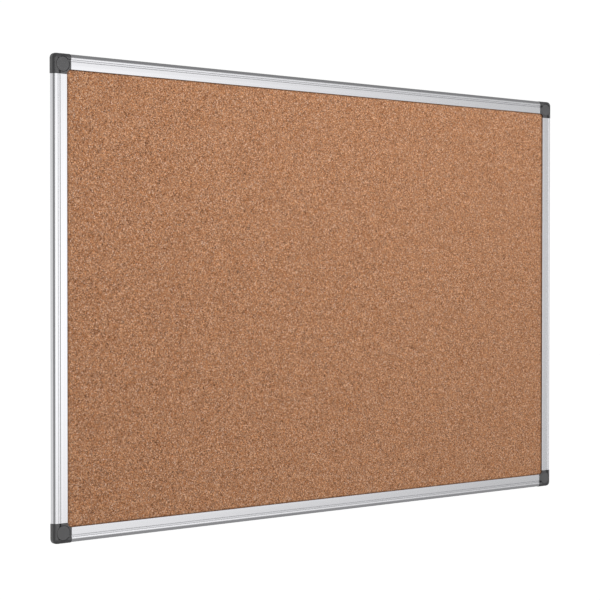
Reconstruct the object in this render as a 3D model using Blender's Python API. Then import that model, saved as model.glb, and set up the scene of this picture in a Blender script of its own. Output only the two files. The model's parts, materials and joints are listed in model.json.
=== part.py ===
"""Cork bulletin board, 900 x 600 mm, in an aluminium frame with moulded corners.

X runs along the width, Z up and -Y out of the front. The wall is the plane y = 0, and the origin is the
middle of the board's back. Inside the functions a corner or a rail is drawn in its own three lengths: along,
inward (from the frame's outer side to the middle of the board) and depth (from the wall to the front).
"""

import math

import bmesh
import bpy
from mathutils import Matrix, Vector

MM = 0.001

# The whole board.
BOARD_WIDTH = 900 * MM
BOARD_HEIGHT = 600 * MM
GAP = 0.3 * MM

# The moulded corner. It stands a little proud of the rails on the outside and at the front.
CORNER_REACH = 25 * MM
CORNER_DEPTH = 9.4 * MM
CORNER_RADIUS = 6.5 * MM
CORNER_EDGE_ROUND = 5.0 * MM
CORNER_FILL = 3.3 * MM
CORNER_BLOCK_LIMIT = 38 * MM
BACK_LEDGE = 2 * MM
CORNER_PROUD = 0.3 * MM

# The frame extrusion's section. The two tilts are in degrees.
RAIL_WIDTH = 19.3 * MM
RAIL_DEPTH = 9.0 * MM
RAIL_ROLL = 4.7 * MM
RAIL_BACK_EDGE = 0.5 * MM
BEAD_CROWN = 8.0 * MM
BEAD_TILT = 10
BEAD_EDGE = 0.3 * MM
BEAD_EDGE_TILT = 80
GROOVE_START = 7.3 * MM
GROOVE_END = 8.9 * MM
GROOVE_DEPTH = 8.15 * MM
LAND_START = 9.7 * MM
LAND_DEPTH = 8.85 * MM
LIP_BACK = 7.7 * MM
LIP_EDGE = 0.5 * MM
WEB_END = 10.5 * MM
FLANGE_END = 14.0 * MM
FLANGE_DEPTH = 0.9 * MM
CHAMBER_START = 1.2 * MM
CHAMBER_END = 9.6 * MM
CHAMBER_TOP = 7.5 * MM

# The corner's two legs, inside the ends of the rails' chambers.
LEG_LENGTH = 30 * MM
LEG_ROOT = 2 * MM
LEG_TIP_TAPER = 1.2 * MM

# The panel, from the back to the front.
BACKING_THICKNESS = 0.4 * MM
CORE_THICKNESS = 3.5 * MM
CORK_THICKNESS = 1.7 * MM

# The wall screw's passage through the corner, and the disc that covers it.
PASSAGE_INSET = 13.3 * MM
PASSAGE_RADIUS = 3.3 * MM
SINK_RADIUS = 4.7 * MM
SINK_FLOOR = 5.5 * MM
COVER_RADIUS = 9.3 * MM
COVER_THICKNESS = 1.0 * MM
COVER_EDGE = 0.7 * MM
SKIRT_INNER = 5.9 * MM
SKIRT_OUTER = 6.9 * MM
SKIRT_LENGTH = 1.8 * MM
PRY_RADIUS = 1.3 * MM
PRY_DEPTH = 1.4 * MM

# The notches in the corner's front, in line with the rails' grooves.
NOTCH_LENGTH = 4.0 * MM
NOTCH_WIDTH = 3.2 * MM
NOTCH_DEPTH = 2.0 * MM

# The pockets that thin the moulding, open at the back.
POCKET_START = 20.6 * MM
POCKET_END = 23.6 * MM
POCKET_TOP = 6.3 * MM

# The small screws that hold the rails on the legs, from the back.
FRAME_SCREW_ALONG = 40 * MM
FRAME_SCREW_HEAD = 2.3 * MM
FRAME_SCREW_SHANK = 1.1 * MM
FRAME_SCREW_LENGTH = 6.4 * MM
FRAME_SCREW_INSET = 0.1 * MM

CIRCLE_STEPS = 32
SMALL_CIRCLE_STEPS = 16
ROLL_STEPS = 10
BEAD_STEPS = 6
CORNER_STEPS = 8
EDGE_STEPS = 3
SHARP_ANGLE = math.radians(35)
NEAR = 0.01 * MM

RAIL_INSET = CORNER_PROUD
CHAMBER_MIDDLE = RAIL_INSET + (CHAMBER_START + CHAMBER_END) / 2
PANEL_INSET = RAIL_INSET + WEB_END + GAP
PANEL_CLIP = CORNER_BLOCK_LIMIT + GAP * math.sqrt(2) - 2 * PANEL_INSET

# Each corner's turn about +Y, in quarter turns from the bottom left one.
CORNER_TURNS = {"bottom_left": 0, "top_left": 1, "top_right": 2, "bottom_right": 3}


def clear_scene():
    for obj in list(bpy.data.objects):
        bpy.data.objects.remove(obj, do_unlink=True)


def material(name, colour, roughness, metallic=0.0):
    made = bpy.data.materials.new(name)
    made.use_nodes = True
    shader = made.node_tree.nodes["Principled BSDF"]
    shader.inputs["Base Color"].default_value = (*colour, 1.0)
    shader.inputs["Roughness"].default_value = roughness
    shader.inputs["Metallic"].default_value = metallic
    return made


def add_object(name, mesh, skin=None):
    obj = bpy.data.objects.new(name, mesh)
    bpy.context.scene.collection.objects.link(obj)
    if skin:
        obj.data.materials.clear()
        obj.data.materials.append(skin)
    return obj


def place(along, inward, depth):
    """A point of the bottom left corner or the bottom rail, as Blender's X, Y, Z."""
    return Vector((along, -depth, inward))


def arc(centre, radius, start, end, steps):
    """Points of an arc in the plane of a section, with its angles in degrees."""
    angles = [math.radians(start + (end - start) * i / steps) for i in range(steps + 1)]
    return [(centre[0] + radius * math.cos(a), centre[1] + radius * math.sin(a)) for a in angles]


def solid_between(outline, ends, to_point):
    """A closed solid: the outline at both ends and the sides between. to_point places an outline point."""
    shape = bmesh.new()
    rings = [[shape.verts.new(to_point(p, end)) for p in outline] for end in ends]
    count = len(outline)
    for i in range(count):
        j = (i + 1) % count
        shape.faces.new((rings[0][i], rings[0][j], rings[1][j], rings[1][i]))
    for ring in rings:
        shape.faces.new(ring)
    bmesh.ops.recalc_face_normals(shape, faces=shape.faces)
    return shape


def prism(outline, back, front):
    """An outline in along and inward, as thick as from one depth to the other."""
    return solid_between(outline, (back, front), lambda p, depth: place(p[0], p[1], depth))


def bar(section, start, end):
    """A section in inward and depth, run along from start to end."""
    return solid_between(section, (start, end), lambda p, along: place(along, p[0], p[1]))


def turned(profile, steps, centre):
    """A closed profile in radius and depth, turned about the line through centre along the depth."""
    shape = bmesh.new()
    rings = []
    for radius, depth in profile:
        if radius == 0:
            rings.append([shape.verts.new(place(centre[0], centre[1], depth))] * steps)
            continue
        ring = []
        for i in range(steps):
            angle = 2 * math.pi * i / steps
            side = (centre[0] + radius * math.cos(angle), centre[1] + radius * math.sin(angle))
            ring.append(shape.verts.new(place(*side, depth)))
        rings.append(ring)
    for upper, lower in zip(rings, rings[1:]):
        for i in range(steps):
            j = (i + 1) % steps
            corners = list(dict.fromkeys((upper[i], upper[j], lower[j], lower[i])))
            if len(corners) > 2:
                shape.faces.new(corners)
    bmesh.ops.recalc_face_normals(shape, faces=shape.faces)
    return shape


def to_mesh(shape, name):
    mesh = bpy.data.meshes.new(name)
    shape.to_mesh(mesh)
    shape.free()
    return mesh


def helper(shape, name):
    """A shape that only cuts or joins another."""
    obj = add_object(name, to_mesh(shape, name))
    obj.hide_render = True
    obj.display_type = "WIRE"
    return obj


def combined(shape, name, changes):
    """The mesh of the shape after its Boolean changes, each an operation and another shape."""
    base = helper(shape, name + "_blank")
    tools = [base]
    for number, (operation, other) in enumerate(changes):
        tool = helper(other, f"{name}_tool_{number}")
        step = base.modifiers.new(tool.name, "BOOLEAN")
        step.operation = operation
        step.object = tool
        step.solver = "EXACT"
        tools.append(tool)
    bpy.context.view_layer.update()
    graph = bpy.context.evaluated_depsgraph_get()
    mesh = bpy.data.meshes.new_from_object(base.evaluated_get(graph))
    mesh.name = name
    mesh.shade_smooth()
    mesh.set_sharp_from_angle(angle=SHARP_ANGLE)
    for tool in tools:
        bpy.data.objects.remove(tool, do_unlink=True)
    return mesh


def corner_place(turns):
    """The matrix that takes the bottom left corner of the board to the one that many quarter turns on."""
    half_width = BOARD_WIDTH / 2
    half_height = BOARD_HEIGHT / 2
    side_x = -half_width if turns in (0, 1) else half_width
    side_z = -half_height if turns in (0, 3) else half_height
    return Matrix.Translation((side_x, 0, side_z)) @ Matrix.Rotation(turns * math.pi / 2, 4, "Y")


def both_arms(make):
    """The shape for the arm along X, and its mirror image for the arm along Z."""
    first = make()
    second = make()
    swap = Matrix(((0, 0, 1, 0), (0, 1, 0, 0), (1, 0, 0, 0), (0, 0, 0, 1)))
    bmesh.ops.transform(second, matrix=swap, verts=second.verts)
    bmesh.ops.recalc_face_normals(second, faces=second.faces)
    return [first, second]


def box(along, inward, depth):
    outline = [
        (along[0], inward[0]),
        (along[1], inward[0]),
        (along[1], inward[1]),
        (along[0], inward[1]),
    ]
    return prism(outline, *depth)


def along_tilt(start, distance, angle):
    """The point that far from start, in the plane of a section, at an angle in degrees."""
    turn = math.radians(angle)
    return (start[0] + distance * math.cos(turn), start[1] + distance * math.sin(turn))


def bead_outline():
    """The rail's outer roll, its crowned bead and the bead's edge, each tangent to the next."""
    left = 90 + BEAD_TILT
    right = 90 - BEAD_TILT
    middle = RAIL_ROLL - (BEAD_CROWN - RAIL_ROLL) * math.cos(math.radians(left))
    crown = (middle, RAIL_DEPTH - BEAD_CROWN)
    roll = along_tilt(crown, BEAD_CROWN - RAIL_ROLL, left)
    edge = along_tilt(crown, BEAD_CROWN - BEAD_EDGE, right)
    outline = arc(roll, RAIL_ROLL, 180, left, ROLL_STEPS)
    outline += arc(crown, BEAD_CROWN, left, right, BEAD_STEPS)[1:-1]
    return outline + arc(edge, BEAD_EDGE, right, 90 - BEAD_EDGE_TILT, EDGE_STEPS)


def rail_section():
    """The extrusion's outline in inward and depth, from the wall up its outer side to its flange."""
    outline = [(RAIL_BACK_EDGE, 0), (0, RAIL_BACK_EDGE)] + bead_outline()
    outline += [(GROOVE_START, GROOVE_DEPTH), (GROOVE_END, GROOVE_DEPTH), (LAND_START, LAND_DEPTH)]
    outline += arc((RAIL_WIDTH - LIP_EDGE, LAND_DEPTH - LIP_EDGE), LIP_EDGE, 90, 0, EDGE_STEPS)
    outline += [(RAIL_WIDTH, LIP_BACK), (WEB_END, LIP_BACK), (WEB_END, FLANGE_DEPTH)]
    outline += [(FLANGE_END, FLANGE_DEPTH), (FLANGE_END, 0)]
    return [(RAIL_INSET + inward, depth) for inward, depth in outline]


def chamber_section(room):
    """The hollow inside a rail, drawn in by room on every side. It follows the rail's outer roll."""
    near = RAIL_INSET + CHAMBER_START + room
    far = RAIL_INSET + CHAMBER_END - room
    back = FLANGE_DEPTH + room
    front = CHAMBER_TOP - room
    centre = (RAIL_INSET + RAIL_ROLL, RAIL_DEPTH - RAIL_ROLL)
    radius = centre[0] - near
    turn = math.degrees(math.asin((front - centre[1]) / radius))
    return [(far, front), (far, back), (near, back)] + arc(centre, radius, 180, 180 - turn, EDGE_STEPS)


def rail_mesh(name, length):
    """A rail as it lies at the bottom: its middle at along = 0, its outer side at inward = RAIL_INSET."""
    half = length / 2
    past_end = half + CORNER_REACH
    changes = [("DIFFERENCE", bar(chamber_section(0), -past_end, past_end))]
    wide = FRAME_SCREW_HEAD + 2 * GAP
    hole = [(0, -FLANGE_DEPTH), (wide + FLANGE_DEPTH, -FLANGE_DEPTH)]
    hole += [(wide - 2 * FLANGE_DEPTH, 2 * FLANGE_DEPTH), (0, 2 * FLANGE_DEPTH)]
    from_end = FRAME_SCREW_ALONG - CORNER_REACH - GAP
    for side in (-1, 1):
        at = (side * (half - from_end), CHAMBER_MIDDLE)
        changes.append(("DIFFERENCE", turned(hole, SMALL_CIRCLE_STEPS, at)))
    return combined(bar(rail_section(), -half, half), name, changes)


def add_rails(skin):
    shorter = 2 * (CORNER_REACH + GAP)
    long_mesh = rail_mesh("rail", BOARD_WIDTH - shorter)
    short_mesh = rail_mesh("stile", BOARD_HEIGHT - shorter)
    for name, mesh, turns, away in (
        ("bottom_rail", long_mesh, 0, BOARD_HEIGHT / 2),
        ("left_stile", short_mesh, 1, BOARD_WIDTH / 2),
        ("top_rail", long_mesh, 2, BOARD_HEIGHT / 2),
        ("right_stile", short_mesh, 3, BOARD_WIDTH / 2),
    ):
        rail = add_object(name, mesh, skin)
        turn = Matrix.Rotation(turns * math.pi / 2, 4, "Y")
        rail.matrix_world = turn @ Matrix.Translation((0, 0, -away))


def corner_outline():
    """The corner's plan, with a round outer corner and a slanted fill in the inner one."""
    reach = CORNER_REACH
    inner = RAIL_INSET + RAIL_WIDTH
    outline = arc((CORNER_RADIUS, CORNER_RADIUS), CORNER_RADIUS, 180, 270, CORNER_STEPS)
    outline += [(reach, 0), (reach, inner), (inner + CORNER_FILL, inner)]
    outline += [(inner, inner + CORNER_FILL), (inner, reach), (0, reach)]
    return outline


def corner_blank():
    """The corner as a full block, with its outer front edges rounded over."""
    shape = prism(corner_outline(), 0, CORNER_DEPTH)

    def outside(vert):
        x, z = vert.co.x, vert.co.z
        on_end = min(x, z) < NEAR and max(x, z) > CORNER_REACH - NEAR
        round_gap = (Vector((x, z)) - Vector((CORNER_RADIUS,) * 2)).length - CORNER_RADIUS
        on_round = max(x, z) < CORNER_RADIUS + NEAR and abs(round_gap) < NEAR
        return -vert.co.y > CORNER_DEPTH - NEAR and (on_end or on_round)

    edges = [e for e in shape.edges if all(outside(v) for v in e.verts)]
    rounding = {"offset": CORNER_EDGE_ROUND, "segments": CORNER_STEPS, "profile": 0.5}
    bmesh.ops.bevel(shape, geom=edges, affect="EDGES", **rounding)
    return shape


def panel_pocket():
    """The space in the corner for the clipped corner of the panel, open towards the middle of the board."""
    near = PANEL_INSET - GAP
    far = CORNER_REACH * 2
    limit = CORNER_BLOCK_LIMIT
    outline = [(limit - near, near), (far, near), (far, far), (near, far), (near, limit - near)]
    return prism(outline, FLANGE_DEPTH, LIP_BACK)


def back_relief():
    """The notch that makes the corner's back plate as wide as the rails' flanges."""
    near = RAIL_INSET + FLANGE_END
    far = CORNER_REACH * 2
    limit = CORNER_BLOCK_LIMIT + BACK_LEDGE
    outline = [(limit - near, near), (far, near), (far, far), (near, far), (near, limit - near)]
    return prism(outline, -FLANGE_DEPTH, 2 * FLANGE_DEPTH)


def cover_seat():
    """The disc's recess, its skirt's groove, the sink for a screw head and the passage, as one tool."""
    seat = CORNER_DEPTH - COVER_THICKNESS - GAP
    groove = CORNER_DEPTH - COVER_THICKNESS - SKIRT_LENGTH - GAP
    cone = SINK_RADIUS - PASSAGE_RADIUS
    profile = [
        (0, -CORNER_DEPTH),
        (PASSAGE_RADIUS, -CORNER_DEPTH),
        (PASSAGE_RADIUS, SINK_FLOOR - cone),
        (SINK_RADIUS, SINK_FLOOR),
        (SINK_RADIUS, seat),
        (SKIRT_INNER - GAP, seat),
        (SKIRT_INNER - GAP, groove),
        (SKIRT_OUTER + GAP, groove),
        (SKIRT_OUTER + GAP, seat),
        (COVER_RADIUS + GAP, seat),
        (COVER_RADIUS + GAP, 2 * CORNER_DEPTH),
        (0, 2 * CORNER_DEPTH),
    ]
    return turned(profile, CIRCLE_STEPS, (PASSAGE_INSET, PASSAGE_INSET))


def pry_notch():
    """The finger-nail notch beside the disc, on the side of the board's corner."""
    at = PASSAGE_INSET - (COVER_RADIUS + GAP) * math.sqrt(0.5)
    profile = [(0, CORNER_DEPTH - PRY_DEPTH), (PRY_RADIUS, CORNER_DEPTH - PRY_DEPTH)]
    profile += [(PRY_RADIUS, 2 * CORNER_DEPTH), (0, 2 * CORNER_DEPTH)]
    return turned(profile, SMALL_CIRCLE_STEPS, (at, at))


def leg():
    """One leg of the corner, with a chamfered tip. It starts inside the block, so that the two join."""
    end = CORNER_REACH + LEG_LENGTH
    shape = bar(chamber_section(GAP), CORNER_REACH - LEG_ROOT, end)
    edges = [e for e in shape.edges if all(v.co.x > end - NEAR for v in e.verts)]
    bmesh.ops.bevel(shape, geom=edges, offset=LEG_TIP_TAPER, segments=1, affect="EDGES")
    return shape


def leg_hole():
    radius = FRAME_SCREW_SHANK + GAP
    profile = [(0, 0), (radius, 0), (radius, CORNER_DEPTH), (0, CORNER_DEPTH)]
    return turned(profile, SMALL_CIRCLE_STEPS, (FRAME_SCREW_ALONG, CHAMBER_MIDDLE))


def front_notch():
    middle = RAIL_INSET + (GROOVE_START + GROOVE_END) / 2
    across = (middle - NOTCH_WIDTH / 2, middle + NOTCH_WIDTH / 2)
    along = (CORNER_REACH - NOTCH_LENGTH, CORNER_REACH + NOTCH_LENGTH)
    return box(along, across, (CORNER_DEPTH - NOTCH_DEPTH, 2 * CORNER_DEPTH))


def back_pocket():
    across = (CHAMBER_START + 2 * RAIL_INSET, CHAMBER_END)
    return box((POCKET_START, POCKET_END), across, (-CORNER_DEPTH, POCKET_TOP))


def corner_mesh():
    changes = [("DIFFERENCE", panel_pocket()), ("DIFFERENCE", back_relief())]
    changes += [("UNION", arm) for arm in both_arms(leg)]
    changes += [("DIFFERENCE", cover_seat()), ("DIFFERENCE", pry_notch())]
    for make in (leg_hole, front_notch, back_pocket):
        changes += [("DIFFERENCE", arm) for arm in both_arms(make)]
    return combined(corner_blank(), "corner", changes)


def cover_mesh():
    """The disc, with its centre at along = inward = 0, a rounded rim and a ring skirt behind."""
    front = CORNER_DEPTH
    back = front - COVER_THICKNESS
    profile = [(0, front)]
    profile += arc((COVER_RADIUS - COVER_EDGE, front - COVER_EDGE), COVER_EDGE, 90, 0, EDGE_STEPS)
    profile += [(COVER_RADIUS, back), (SKIRT_OUTER, back), (SKIRT_OUTER, back - SKIRT_LENGTH)]
    profile += [(SKIRT_INNER, back - SKIRT_LENGTH), (SKIRT_INNER, back), (0, back)]
    return combined(turned(profile, CIRCLE_STEPS, (0, 0)), "screw_cover", [])


def frame_screw_mesh():
    """A countersunk screw: its head just inside the rail's back face, its point in the corner's leg."""
    head = FRAME_SCREW_INSET
    neck = head + FRAME_SCREW_HEAD - FRAME_SCREW_SHANK
    tip = FRAME_SCREW_LENGTH
    profile = [(0, head), (FRAME_SCREW_HEAD, head), (FRAME_SCREW_SHANK, neck)]
    profile += [(FRAME_SCREW_SHANK, tip - FRAME_SCREW_SHANK), (0, tip)]
    return combined(turned(profile, SMALL_CIRCLE_STEPS, (0, 0)), "frame_screw", [])


def add_corners(moulding_skin, screw_skin):
    corner = corner_mesh()
    cover = cover_mesh()
    screw = frame_screw_mesh()
    for where, turns in CORNER_TURNS.items():
        at_corner = corner_place(turns)
        moulding = add_object(f"corner_{where}", corner, moulding_skin)
        moulding.matrix_world = at_corner
        disc = add_object(f"screw_cover_{where}", cover, moulding_skin)
        disc.matrix_world = at_corner @ Matrix.Translation(place(PASSAGE_INSET, PASSAGE_INSET, 0))
        spots = ((FRAME_SCREW_ALONG, CHAMBER_MIDDLE), (CHAMBER_MIDDLE, FRAME_SCREW_ALONG))
        for number, spot in enumerate(spots, 1):
            fastener = add_object(f"frame_screw_{where}_{number}", screw, screw_skin)
            fastener.matrix_world = at_corner @ Matrix.Translation(place(*spot, 0))


def add_sheet(name, back, thickness, skin):
    """A sheet of the panel, with its four corners clipped to clear the wall screws' bosses."""
    half_width = BOARD_WIDTH / 2 - PANEL_INSET
    half_height = BOARD_HEIGHT / 2 - PANEL_INSET
    clip = PANEL_CLIP
    outline = [
        (-half_width + clip, -half_height),
        (half_width - clip, -half_height),
        (half_width, -half_height + clip),
        (half_width, half_height - clip),
        (half_width - clip, half_height),
        (-half_width + clip, half_height),
        (-half_width, half_height - clip),
        (-half_width, -half_height + clip),
    ]
    add_object(name, to_mesh(prism(outline, back, back + thickness), name), skin)
    return back + thickness + GAP


def add_panel():
    depth = FLANGE_DEPTH + GAP
    for name, thickness, colour, roughness in (
        ("backing_sheet", BACKING_THICKNESS, (0.42, 0.40, 0.36), 0.7),
        ("core_board", CORE_THICKNESS, (0.36, 0.24, 0.14), 0.9),
        ("cork_sheet", CORK_THICKNESS, (0.42, 0.21, 0.11), 0.85),
    ):
        depth = add_sheet(name, depth, thickness, material(name, colour, roughness))


def main():
    clear_scene()
    add_rails(material("anodised_aluminium", (0.80, 0.80, 0.82), 0.30, 1.0))
    moulding_skin = material("grey_moulding", (0.085, 0.085, 0.09), 0.5)
    screw_skin = material("zinc_plated_steel", (0.62, 0.62, 0.64), 0.35, 1.0)
    add_corners(moulding_skin, screw_skin)
    add_panel()


main()
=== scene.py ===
"""The looks of the cork bulletin board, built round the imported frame.

Every length is in metres in the frame's axes: X along the board's width, Z up, -Y out of the front, and the wall
plane at y = 0. Each finished piece starts from its CAD node's own shape, so it stays where the CAD puts it.
"""

import json
import math

import bmesh
import bpy
import numpy as np
from mathutils import Matrix, Vector, noise

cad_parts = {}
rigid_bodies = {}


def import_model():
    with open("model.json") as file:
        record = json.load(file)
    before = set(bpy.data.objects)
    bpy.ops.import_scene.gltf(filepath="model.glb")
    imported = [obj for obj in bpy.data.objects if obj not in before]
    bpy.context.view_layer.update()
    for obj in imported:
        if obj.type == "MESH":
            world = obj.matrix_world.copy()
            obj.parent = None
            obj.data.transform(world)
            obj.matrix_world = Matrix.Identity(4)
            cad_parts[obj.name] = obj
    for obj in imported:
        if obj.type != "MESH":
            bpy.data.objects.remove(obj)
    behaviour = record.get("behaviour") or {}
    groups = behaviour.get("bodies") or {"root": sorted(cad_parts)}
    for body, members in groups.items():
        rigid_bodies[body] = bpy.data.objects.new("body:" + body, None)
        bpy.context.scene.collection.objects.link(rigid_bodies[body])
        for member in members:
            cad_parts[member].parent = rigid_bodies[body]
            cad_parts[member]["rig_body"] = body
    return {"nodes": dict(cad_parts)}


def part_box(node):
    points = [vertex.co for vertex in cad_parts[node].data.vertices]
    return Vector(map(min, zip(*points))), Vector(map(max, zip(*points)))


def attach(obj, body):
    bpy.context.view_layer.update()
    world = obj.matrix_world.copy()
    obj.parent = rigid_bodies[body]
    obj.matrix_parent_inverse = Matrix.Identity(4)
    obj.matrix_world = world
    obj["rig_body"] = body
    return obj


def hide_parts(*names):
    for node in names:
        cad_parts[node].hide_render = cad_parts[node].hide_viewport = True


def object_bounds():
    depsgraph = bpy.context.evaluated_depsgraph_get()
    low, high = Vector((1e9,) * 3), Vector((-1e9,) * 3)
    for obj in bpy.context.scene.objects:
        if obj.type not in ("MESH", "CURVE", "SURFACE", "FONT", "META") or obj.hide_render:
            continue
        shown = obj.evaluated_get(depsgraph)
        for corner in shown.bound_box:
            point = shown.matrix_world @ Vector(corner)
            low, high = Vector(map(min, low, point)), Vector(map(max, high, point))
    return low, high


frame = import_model()
CAD_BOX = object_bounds()

MM = 0.001

# The camera, at the height and side that the board is seen from.
CAMERA_PLACE = (-1.5039, -1.7445, 0.0274)
CAMERA_YAW = math.radians(39.749)
CAMERA_PITCH = math.radians(-0.812)
CAMERA_ROLL = math.radians(0.030)
CAMERA_LENS = 99.09
CAMERA_SENSOR = 36.0

# The studio that metal mirrors: a dim room with a broad bright card in front of the board, a strip at the right and
# four round cards. Heights and the strip's width are sines of the angle from the level or from the strip's middle.
ROOM_LEVEL = 0.25
ROOM_BELOW_LEVEL = 0.05
ROOM_BELOW_START = -0.15
ROOM_BELOW_END = -0.50
# Each round card's direction, the angles of its core and its edge in degrees, and its level.
ROUND_CARDS = {
    "wall_behind_left": ((-0.50, 0.87, 0.0), 31.8, 60.0, 0.50),
    "low_left": ((-0.61, -0.61, -0.50), 11.0, 25.0, 0.50),
    "low_behind_right": ((0.66, 0.66, -0.36), 12.0, 26.0, 0.50),
    "right": ((1.0, 0.06, -0.06), 6.0, 18.0, 0.45),
}
STRIP_SIDE = math.radians(62.0)
STRIP_CORE = 0.05
STRIP_EDGE = 0.16
STRIP_LEVEL = 1.20
CARD_SIDE = math.radians(5.0)
CARD_CORE = math.radians(26.0)
CARD_EDGE = math.radians(50.0)
CARD_HEIGHT = 0.01
CARD_HEIGHT_CORE = 0.05
CARD_HEIGHT_EDGE = 0.38
CARD_LEVEL = 1.05
BACKDROP_LEVEL = 1.02
WHITE = (1.0, 1.0, 1.0, 1.0)

# Two softboxes, which light the matt surfaces only, and the floor.
LAMP_SIZE = (1.2, 0.8)
FRONT_LAMP_PLACE = (0.15, -1.60, 1.0)
FRONT_LAMP_TARGET = (0.05, 0.0, 0.15)
FRONT_LAMP_POWER = 23.7
BACK_LAMP_PLACE = (0.25, 1.70, 0.8)
BACK_LAMP_TARGET = (0.0, 0.0, 0.0)
BACK_LAMP_POWER = 14.0
FLOOR_DROP = 1.5
FLOOR_SIZE = 60.0
FLOOR_COLOUR = (0.9, 0.9, 0.9, 1.0)
FLOOR_ROUGHNESS = 0.9
FLOOR_GLOW = 0.75

CORNERS = ("bottom_left", "top_left", "top_right", "bottom_right")
# Each rail with the number of the axis that it runs along.
RAILS = {"top_rail": 0, "bottom_rail": 0, "left_stile": 2, "right_stile": 2}

# Edges.
WELD = 1e-6
FLAT_ANGLE = math.radians(0.6)
SHARP_ANGLE = math.radians(35)
EDGE_SEGMENTS = 2
RAIL_EDGE = 0.12 * MM
MOULDING_EDGE = 0.18 * MM

# The materials. Scales are in waves to a metre, and each colour has its place on a ramp from 0 to 1.
NOISE_SUM = (0.6, 1.4)
ALUMINIUM_COLOURS = ((0.0, (0.82, 0.82, 0.845)), (1.0, (0.87, 0.87, 0.895)))
ALUMINIUM_ROUGHNESS = (0.22, 0.17)
LINES_ACROSS = 1400.0
LINES_ALONG = 3.0
BANDS_ACROSS = 260.0
BANDS_ALONG = 1.2
MOULDING_COLOURS = ((0.0, (0.030, 0.029, 0.031)), (1.0, (0.048, 0.047, 0.050)))
MOULDING_GRAIN = 2600.0
MOULDING_PATCHES = 180.0
ZINC_PATCHES = 900.0
ZINC_SPREAD = (0.3, 0.7)
ZINC_DARK = (0.52, 0.53, 0.56)
ZINC_LIGHT = (0.70, 0.70, 0.70)
ZINC_ROUGHNESS = (0.24, 0.40)
FIBRE_SPREAD = (0.10, 0.42)
FIBRE_STRETCH_UP = 0.18
FIBRE_STRETCH_ACROSS = 0.2
FIBRE_NOISE = {"detail": 5.0, "Distortion": 0.8}

# The cork face: its grid, its granules and the small chips between them, and the shade painted beside the frame's
# lips.
CORK_PITCH = 2.4 * MM
CORK_RELIEF = 0.05 * MM
CORK_LEVEL_SHARE = 0.65
CORK_DOME_SHARE = 0.7
CORK_DRAW_STEP = 3.7
CORK_GRAIN = 1.25 * MM
CORK_CHIP = 0.7 * MM
CORK_CHIP_SHARE = 0.40
CORK_WOBBLE = 0.7 * MM
CORK_WOBBLE_SCALE = 800.0
CORK_SEAM = 0.12
CORK_SEAM_LEVEL = 0.66
# Painted shade beside the lips: its width by the rails, its wider width by the stiles, and the cork's colour level
# right at the lip.
PAINTED_LIP_SHADE_WIDTH = 1.8 * MM
PAINTED_LIP_SHADE_WIDTH_AT_STILES = 3.6 * MM
PAINTED_LIP_SHADE_LEVEL = 0.30
GRAIN_COLOURS = (
    (0.00, (0.045, 0.016, 0.008)),
    (0.12, (0.130, 0.047, 0.021)),
    (0.24, (0.340, 0.135, 0.058)),
    (0.50, (0.480, 0.215, 0.100)),
    (0.80, (0.650, 0.335, 0.175)),
    (1.00, (0.950, 0.620, 0.420)),
)
CHIP_COLOURS = (
    (0.00, (0.070, 0.026, 0.013)),
    (0.16, (0.240, 0.092, 0.040)),
    (0.55, (0.480, 0.215, 0.100)),
    (0.85, (0.680, 0.355, 0.190)),
    (1.00, (0.950, 0.640, 0.430)),
)
GRAIN_TINTS = (
    (0.0, (1.0, 0.86, 0.68)),
    (0.5, (1.0, 1.0, 1.0)),
    (1.0, (0.94, 1.08, 1.30)),
)

# The frame screws, back from their heads' faces.
SCREW_STEPS = 24
SCREW_NECK = 1.2 * MM
SCREW_POINT = 1.1 * MM
SCREW_CREST = 1.08 * MM
SCREW_ROOT = 0.82 * MM
SCREW_TIP = 0.1 * SCREW_ROOT
SCREW_PITCH = 0.8 * MM
SCREW_RINGS = 40
CROSS_REACH = 1.25 * MM
CROSS_HALF_WIDTH = 0.28 * MM
CROSS_DEPTH = 0.9 * MM
CROSS_TAPER = 0.55


def node_of(tree, kind, inputs=(), **settings):
    """A new shader node with its settings, and its inputs set or linked by name or number."""
    made = tree.nodes.new(kind)
    for key, value in settings.items():
        setattr(made, key, value)
    for key, value in dict(inputs).items():
        if isinstance(value, bpy.types.NodeSocket):
            tree.links.new(value, made.inputs[key])
        else:
            made.inputs[key].default_value = value
    return made


def start_material(name):
    made = bpy.data.materials.new(name)
    made.use_nodes = True
    tree = made.node_tree
    return made, tree, tree.nodes["Principled BSDF"]


def set_shader(shader, **values):
    for key, value in values.items():
        shader.inputs[key.replace("_", " ")].default_value = value


def maths(tree, operation, first, second=0.0, third=0.0):
    made = node_of(tree, "ShaderNodeMath", {0: first, 1: second, 2: third}, operation=operation)
    return made.outputs["Value"]


def vector_maths(tree, operation, inputs, output="Vector"):
    made = node_of(tree, "ShaderNodeVectorMath", inputs, operation=operation)
    return made.outputs[output]


def place_of(tree):
    return node_of(tree, "ShaderNodeTexCoord").outputs["Object"]


def noise_of(tree, scale, detail=2.0, **more):
    """Noise with its scale given along each axis, as waves in a metre."""
    stretch = node_of(tree, "ShaderNodeMapping", {"Vector": place_of(tree), "Scale": scale})
    inputs = {"Vector": stretch.outputs["Vector"], "Scale": 1.0, "Detail": detail}
    return node_of(tree, "ShaderNodeTexNoise", {**inputs, **more}).outputs["Fac"]


def ramp(tree, factor, stops):
    """A colour ramp: stops are (position, colour)."""
    made = node_of(tree, "ShaderNodeValToRGB", {"Fac": factor})
    points = made.color_ramp.elements
    while len(points) < len(stops):
        points.new(0.5)
    for point, (position, colour) in zip(points, stops):
        point.position = position
        point.color = (*colour, 1.0)
    return made.outputs["Color"]


def blended(tree, kind, amount, first, second):
    """Two colours mixed, as a colour output. The mix node's sockets 6 and 7 and output 2 are the colours."""
    inputs = {0: amount, 6: first, 7: second}
    return node_of(tree, "ShaderNodeMix", inputs, data_type="RGBA", blend_type=kind).outputs[2]


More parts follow.
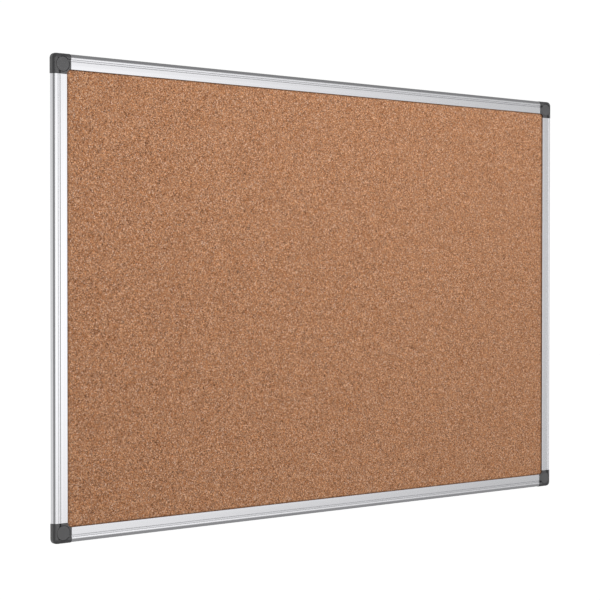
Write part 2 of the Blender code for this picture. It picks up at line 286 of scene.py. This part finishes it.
def ranged(tree, value, low, high, to_low, to_high, kind="LINEAR"):
    """A value carried from one range to another."""
    ends = {"Value": value, "From Min": low, "From Max": high, "To Min": to_low, "To Max": to_high}
    return node_of(tree, "ShaderNodeMapRange", ends, interpolation_type=kind).outputs["Result"]


def noise_sum(tree, first, second):
    """Two noises added, and their usual spread carried onto 0 to 1."""
    return ranged(tree, maths(tree, "ADD", first, second), *NOISE_SUM, 0.0, 1.0)


def grey(tree, value):
    return node_of(tree, "ShaderNodeCombineColor", {0: value, 1: value, 2: value}).outputs[0]


def bump(tree, shader, height, strength, distance):
    inputs = {"Height": height, "Strength": strength, "Distance": distance}
    made = node_of(tree, "ShaderNodeBump", inputs)
    tree.links.new(made.outputs["Normal"], shader.inputs["Normal"])


def aluminium(name, axis):
    """Satin anodised aluminium with fine lines and broader bands drawn along the axis with this number."""
    made, tree, shader = start_material(name)
    set_shader(shader, Metallic=1.0)
    fine = [LINES_ACROSS] * 3
    fine[axis] = LINES_ALONG
    broad = [BANDS_ACROSS] * 3
    broad[axis] = BANDS_ALONG
    lines = noise_of(tree, fine, detail=3.0, Roughness=0.6)
    spread = noise_sum(tree, lines, noise_of(tree, broad))
    tree.links.new(ramp(tree, spread, ALUMINIUM_COLOURS), shader.inputs["Base Color"])
    gloss = ranged(tree, spread, 0.0, 1.0, *ALUMINIUM_ROUGHNESS)
    tree.links.new(gloss, shader.inputs["Roughness"])
    bump(tree, shader, lines, strength=0.2, distance=0.02 * MM)
    return made


def moulding():
    """Dark grey ABS with the fine grain of a spark-eroded mould."""
    made, tree, shader = start_material("grey_moulding")
    set_shader(shader, Roughness=0.36, IOR=1.6, Specular_IOR_Level=1.0)
    grain = noise_of(tree, (MOULDING_GRAIN,) * 3)
    patches = noise_of(tree, (MOULDING_PATCHES,) * 3, detail=3.0)
    colour = ramp(tree, noise_sum(tree, grain, patches), MOULDING_COLOURS)
    tree.links.new(colour, shader.inputs["Base Color"])
    bump(tree, shader, grain, strength=0.35, distance=0.05 * MM)
    return made


def granules(tree, place, size):
    """Cork granules of one size: three random draws for each, and the distance to its edge in granules."""
    cells = {"Vector": place, "Scale": 1 / size, "Randomness": 1.0}
    colour = node_of(tree, "ShaderNodeTexVoronoi", cells).outputs["Color"]
    edges = node_of(tree, "ShaderNodeTexVoronoi", cells, feature="DISTANCE_TO_EDGE")
    return node_of(tree, "ShaderNodeSeparateColor", {0: colour}).outputs, edges.outputs["Distance"]


def painted_lip_shade(tree, place):
    """How far in from the nearest lip the cork is, as a share of the width of the shade painted there."""
    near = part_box("left_stile")[1].x
    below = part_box("top_rail")[0].z
    across, _, up = node_of(tree, "ShaderNodeSeparateXYZ", {0: place}).outputs
    side = maths(tree, "SUBTRACT", -near, maths(tree, "ABSOLUTE", across))
    level = maths(tree, "SUBTRACT", below, maths(tree, "ABSOLUTE", up))
    side = maths(tree, "DIVIDE", side, PAINTED_LIP_SHADE_WIDTH_AT_STILES)
    return maths(tree, "MINIMUM", side, maths(tree, "DIVIDE", level, PAINTED_LIP_SHADE_WIDTH))


def cork():
    """Agglomerated cork: granules of several browns pressed together, with dark seams, a few bark specks and painted
    shade beside the frame's lips.
    """
    made, tree, shader = start_material("cork")
    set_shader(shader, Roughness=0.75, Specular_IOR_Level=0.2)
    place = place_of(tree)
    wobble_noise = {"Vector": place, "Scale": CORK_WOBBLE_SCALE, "Detail": 2.0}
    wobble = node_of(tree, "ShaderNodeTexNoise", wobble_noise).outputs["Color"]
    centred = vector_maths(tree, "SUBTRACT", {0: wobble, 1: (0.5, 0.5, 0.5)})
    shift = vector_maths(tree, "SCALE", {0: centred, "Scale": CORK_WOBBLE})
    bent = vector_maths(tree, "ADD", {0: place, 1: shift})
    draw, edge = granules(tree, bent, CORK_GRAIN)
    chip, _ = granules(tree, bent, CORK_CHIP)
    grains = ramp(tree, draw[0], GRAIN_COLOURS)
    chips = ramp(tree, chip[0], CHIP_COLOURS)
    mixed = blended(tree, "MIX", CORK_CHIP_SHARE, grains, chips)
    tinted = blended(tree, "MULTIPLY", 1.0, mixed, ramp(tree, draw[1], GRAIN_TINTS))
    seam = ranged(tree, edge, 0.0, CORK_SEAM, CORK_SEAM_LEVEL, 1.0)
    # Painted shade: the cork's colour is darkened towards the frame's lips, standing in for the lips' shadow.
    rim = ranged(tree, painted_lip_shade(tree, place), 0.0, 1.0, PAINTED_LIP_SHADE_LEVEL, 1.0)
    shaded = blended(tree, "MULTIPLY", 1.0, tinted, grey(tree, maths(tree, "MULTIPLY", seam, rim)))
    tree.links.new(shaded, shader.inputs["Base Color"])
    bump(tree, shader, maths(tree, "ADD", seam, chip[1]), strength=0.5, distance=0.08 * MM)
    return made


def fibres(name, dark, light, scale, relief, roughness):
    """A matt board or paper of pressed fibres."""
    made, tree, shader = start_material(name)
    set_shader(shader, Roughness=roughness, Specular_IOR_Level=0.3)
    upright = noise_of(tree, (scale, scale, scale * FIBRE_STRETCH_UP), **FIBRE_NOISE)
    level = noise_of(tree, (scale * FIBRE_STRETCH_ACROSS, scale, scale), **FIBRE_NOISE)
    both = maths(tree, "MULTIPLY", upright, level)
    spread = ranged(tree, both, *FIBRE_SPREAD, 0.0, 1.0)
    tree.links.new(ramp(tree, spread, ((0.0, dark), (1.0, light))), shader.inputs["Base Color"])
    bump(tree, shader, both, strength=0.5, distance=relief)
    return made


def zinc():
    made, tree, shader = start_material("zinc_plated_steel")
    set_shader(shader, Metallic=1.0)
    patches = noise_of(tree, (ZINC_PATCHES,) * 3, detail=3.0)
    low, high = ZINC_SPREAD
    colour = ramp(tree, patches, ((low, ZINC_DARK), (high, ZINC_LIGHT)))
    tree.links.new(colour, shader.inputs["Base Color"])
    tree.links.new(ranged(tree, patches, low, high, *ZINC_ROUGHNESS), shader.inputs["Roughness"])
    return made


def link(obj):
    bpy.context.scene.collection.objects.link(obj)
    return obj


def dress(piece, node, skin):
    """Puts a finished piece in its node's place: its material and its body, with the node hidden."""
    piece.data.materials.clear()
    piece.data.materials.append(skin)
    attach(piece, frame["nodes"][node]["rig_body"])
    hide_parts(node)
    return piece


def finished(node, skin, edge):
    """A copy of a CAD node with its flat faces whole again and every sharp edge broken by a small bevel."""
    shape = bmesh.new()
    shape.from_mesh(frame["nodes"][node].data)
    bmesh.ops.remove_doubles(shape, verts=shape.verts, dist=WELD)
    bmesh.ops.dissolve_limit(shape, angle_limit=FLAT_ANGLE, verts=shape.verts, edges=shape.edges)
    mesh = bpy.data.meshes.new(node + "_finished")
    shape.to_mesh(mesh)
    shape.free()
    mesh.shade_smooth()
    mesh.set_sharp_from_angle(angle=SHARP_ANGLE)
    piece = link(bpy.data.objects.new(node + "_finished", mesh))
    if edge:
        soften = piece.modifiers.new("broken_edges", "BEVEL")
        soften.width = edge
        soften.segments = EDGE_SEGMENTS
        soften.limit_method = "ANGLE"
        soften.angle_limit = SHARP_ANGLE
        soften.use_clamp_overlap = True
    flatten = piece.modifiers.new("flat_faces_stay_flat", "WEIGHTED_NORMAL")
    flatten.keep_sharp = True
    return dress(piece, node, skin)


def granule_height(point):
    """How far a point of the cork face stands up or down, from about -1 to 1."""
    distances, centres = noise.voronoi(point / CORK_GRAIN)
    level = noise.cell(centres[0] * CORK_DRAW_STEP)
    dome = 1.0 - min(distances[0], 1.0)
    return CORK_LEVEL_SHARE * level + CORK_DOME_SHARE * (dome - 0.5)


def cork_face(skin):
    """The cork sheet: a flat slab with clipped corners, whose front is a fine grid raised and sunk grain by grain."""
    low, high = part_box("cork_sheet")
    outline = frame["nodes"]["cork_sheet"].data
    clip = min(high.x - v.co.x for v in outline.vertices if high.z - v.co.z < WELD)
    across = round((high.x - low.x) / CORK_PITCH)
    up = round((high.z - low.z) / CORK_PITCH)
    xs = np.linspace(low.x, high.x, across + 1)
    zs = np.linspace(low.z, high.z, up + 1)
    shape = bmesh.new()
    rows = [[shape.verts.new((x, low.y, z)) for x in xs] for z in zs]
    for lower, upper in zip(rows, rows[1:]):
        for i in range(across):
            shape.faces.new((lower[i], lower[i + 1], upper[i + 1], upper[i]))
    for side_x in (-1, 1):
        for side_z in (-1, 1):
            bmesh.ops.bisect_plane(
                shape,
                geom=shape.verts[:] + shape.edges[:] + shape.faces[:],
                plane_co=(side_x * (high.x - clip / 2), 0, side_z * (high.z - clip / 2)),
                plane_no=(side_x, 0, side_z),
                clear_outer=True,
                dist=WELD,
            )
    rim = [e for e in shape.edges if e.is_boundary]
    on_rim = {v for e in rim for v in e.verts}
    for vert in shape.verts:
        if vert not in on_rim:
            vert.co.y -= CORK_RELIEF * granule_height(vert.co)
    sides = bmesh.ops.extrude_edge_only(shape, edges=rim)["geom"]
    back = [v for v in sides if isinstance(v, bmesh.types.BMVert)]
    for vert in back:
        vert.co.y = high.y
    back_rim = [e for e in shape.edges if e.is_boundary]
    bmesh.ops.contextual_create(shape, geom=back_rim)
    bmesh.ops.recalc_face_normals(shape, faces=shape.faces)
    mesh = bpy.data.meshes.new("cork_face")
    shape.to_mesh(mesh)
    shape.free()
    mesh.shade_smooth()
    mesh.set_sharp_from_angle(angle=SHARP_ANGLE)
    return dress(link(bpy.data.objects.new("cork_face", mesh)), "cork_sheet", skin)


def cross_outline(reach, half_width):
    """A plus sign's twelve points, in order round it."""
    arm = [(reach, -half_width), (reach, half_width), (half_width, half_width)]
    quarters = [Matrix.Rotation(i * math.pi / 2, 2) for i in range(4)]
    return [turn @ Vector(point) for turn in quarters for point in arm]


def screw(node, skin):
    """A countersunk screw with a cross recess in its head and a thread on its shank."""
    low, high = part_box(node)
    middle = (low + high) / 2
    head = (high.x - low.x) / 2
    length = high.y - low.y
    shape = bmesh.new()

    def ring(points, depth):
        return [shape.verts.new((middle.x + p[0], high.y - depth, middle.z + p[1])) for p in points]

    def circle(radius_at):
        turns = [i / SCREW_STEPS for i in range(SCREW_STEPS)]
        angles = [2 * math.pi * turn for turn in turns]
        radii = [radius_at(turn) for turn in turns]
        return [(r * math.cos(a), r * math.sin(a)) for r, a in zip(radii, angles)]

    def thread(depth):
        def radius_at(turn):
            wave = abs(2 * ((depth / SCREW_PITCH + turn) % 1.0) - 1)
            return SCREW_ROOT + (SCREW_CREST - SCREW_ROOT) * wave**2

        return radius_at

    def join(first, second):
        for i, vert in enumerate(first):
            j = (i + 1) % len(first)
            shape.faces.new((vert, first[j], second[j], second[i]))

    rings = [ring(circle(lambda turn: head), 0.0)]
    for depth in np.linspace(SCREW_NECK, length - SCREW_POINT, SCREW_RINGS):
        rings.append(ring(circle(thread(depth)), depth))
    rings.append(ring(circle(lambda turn: SCREW_TIP), length))
    for first, second in zip(rings, rings[1:]):
        join(first, second)
    shape.faces.new(rings[-1])
    mouth = ring(cross_outline(CROSS_REACH, CROSS_HALF_WIDTH), 0.0)
    floor_outline = cross_outline(CROSS_REACH * CROSS_TAPER, CROSS_HALF_WIDTH * CROSS_TAPER)
    floor = ring(floor_outline, CROSS_DEPTH)
    join(mouth, floor)
    shape.faces.new(floor)
    open_edges = [e for e in shape.edges if e.is_boundary]
    bmesh.ops.triangle_fill(shape, edges=open_edges, use_beauty=True)
    bmesh.ops.recalc_face_normals(shape, faces=shape.faces)
    mesh = bpy.data.meshes.new(node + "_finished")
    shape.to_mesh(mesh)
    shape.free()
    mesh.shade_smooth()
    mesh.set_sharp_from_angle(angle=SHARP_ANGLE)
    piece = link(bpy.data.objects.new(node + "_finished", mesh))
    return dress(piece, node, skin)


def add_world():
    """The backdrop is white to the eye. Lit and mirrored surfaces see the room and its cards."""
    world = bpy.data.worlds.new("studio")
    bpy.context.scene.world = world
    world.use_nodes = True
    tree = world.node_tree
    tree.nodes.clear()
    facing = node_of(tree, "ShaderNodeTexCoord").outputs["Generated"]

    def along(direction):
        return vector_maths(tree, "DOT_PRODUCT", {0: facing, 1: direction}, "Value")

    up = along((0.0, 0.0, 1.0))
    off = maths(tree, "ABSOLUTE", maths(tree, "SUBTRACT", up, CARD_HEIGHT))
    height = ranged(tree, off, CARD_HEIGHT_CORE, CARD_HEIGHT_EDGE, 1.0, 0.0, "SMOOTHSTEP")

    facing_card = along((math.sin(CARD_SIDE), -math.cos(CARD_SIDE), 0.0))
    width = ranged(tree, facing_card, math.cos(CARD_EDGE), math.cos(CARD_CORE), 0.0, 1.0)
    card = maths(tree, "MULTIPLY", width, height)
    level = maths(tree, "MULTIPLY_ADD", card, CARD_LEVEL, ROOM_LEVEL)

    across = maths(tree, "ABSOLUTE", along((math.cos(STRIP_SIDE), math.sin(STRIP_SIDE), 0.0)))
    strip = ranged(tree, across, STRIP_CORE, STRIP_EDGE, 1.0, 0.0, "SMOOTHSTEP")
    at_right = maths(tree, "GREATER_THAN", along((1.0, 0.0, 0.0)), 0.0)
    strip = maths(tree, "MULTIPLY", maths(tree, "MULTIPLY", strip, at_right), height)
    level = maths(tree, "MULTIPLY_ADD", strip, STRIP_LEVEL, level)

    below = ranged(tree, up, ROOM_BELOW_END, ROOM_BELOW_START, ROOM_BELOW_LEVEL, 0.0)
    level = maths(tree, "ADD", level, below)
    for towards, core, edge, strength in ROUND_CARDS.values():
        near = along(Vector(towards).normalized())
        ends = (math.cos(math.radians(edge)), math.cos(math.radians(core)))
        card = ranged(tree, near, *ends, 0.0, strength, "SMOOTHSTEP")
        level = maths(tree, "ADD", level, card)

    room = node_of(tree, "ShaderNodeBackground", {"Color": WHITE, "Strength": level})
    backdrop = node_of(tree, "ShaderNodeBackground", {"Color": WHITE, "Strength": BACKDROP_LEVEL})
    seen = node_of(tree, "ShaderNodeLightPath").outputs["Is Camera Ray"]
    both = node_of(tree, "ShaderNodeMixShader", {0: seen, 1: room.outputs[0], 2: backdrop.outputs[0]})
    node_of(tree, "ShaderNodeOutputWorld", {"Surface": both.outputs[0]})


def add_lamp(name, place, target, power):
    """A softbox that lights matt surfaces and isn't mirrored in the metal."""
    data = bpy.data.lights.new(name, "AREA")
    data.shape = "RECTANGLE"
    data.size, data.size_y = LAMP_SIZE
    data.energy = power
    lamp = link(bpy.data.objects.new(name, data))
    lamp.location = place
    towards = Vector(target) - Vector(place)
    lamp.rotation_euler = towards.to_track_quat("-Z", "Y").to_euler()
    lamp.visible_glossy = False
    lamp.visible_camera = False


def add_floor():
    """A pale floor well below the hanging board, which the board's surfaces don't see."""
    bpy.ops.mesh.primitive_plane_add(size=FLOOR_SIZE, location=(0, 0, CAD_BOX[0].z - FLOOR_DROP))
    floor = bpy.context.object
    floor.name = "floor"
    made, _, shader = start_material("pale_floor")
    set_shader(shader, Base_Color=FLOOR_COLOUR, Roughness=FLOOR_ROUGHNESS)
    set_shader(shader, Emission_Color=WHITE, Emission_Strength=FLOOR_GLOW)
    floor.data.materials.append(made)
    floor.visible_glossy = False
    floor.visible_diffuse = False


def add_studio():
    add_world()
    add_lamp("front_softbox", FRONT_LAMP_PLACE, FRONT_LAMP_TARGET, FRONT_LAMP_POWER)
    add_lamp("back_softbox", BACK_LAMP_PLACE, BACK_LAMP_TARGET, BACK_LAMP_POWER)
    add_floor()
    bpy.context.scene.view_settings.view_transform = "Standard"
    bpy.context.scene.view_settings.look = "None"


def add_camera():
    data = bpy.data.cameras.new("camera")
    data.lens = CAMERA_LENS
    data.sensor_width = CAMERA_SENSOR
    data.clip_end = FLOOR_SIZE
    camera = link(bpy.data.objects.new("camera", data))
    level = math.cos(CAMERA_PITCH)
    ahead = (math.sin(CAMERA_YAW) * level, math.cos(CAMERA_YAW) * level, math.sin(CAMERA_PITCH))
    turn = Vector(ahead).to_track_quat("-Z", "Y").to_matrix().to_4x4()
    roll = Matrix.Rotation(CAMERA_ROLL, 4, "Z")
    camera.matrix_world = Matrix.Translation(CAMERA_PLACE) @ turn @ roll
    bpy.context.scene.camera = camera


def add_board():
    for node, axis in RAILS.items():
        finished(node, aluminium("aluminium_" + node, axis), RAIL_EDGE)
    plastic = moulding()
    metal = zinc()
    for where in CORNERS:
        finished("corner_" + where, plastic, MOULDING_EDGE)
        finished("screw_cover_" + where, plastic, MOULDING_EDGE)
        for number in (1, 2):
            screw(f"frame_screw_{where}_{number}", metal)
    cork_face(cork())
    core = fibres(
        "fibreboard",
        dark=(0.22, 0.135, 0.075),
        light=(0.42, 0.29, 0.18),
        scale=700.0,
        relief=0.10 * MM,
        roughness=0.92,
    )
    finished("core_board", core, edge=0)
    paper = fibres(
        "backing_paper",
        dark=(0.36, 0.34, 0.30),
        light=(0.50, 0.48, 0.44),
        scale=420.0,
        relief=0.03 * MM,
        roughness=0.80,
    )
    finished("backing_sheet", paper, edge=0)


add_camera()
add_studio()
add_board()
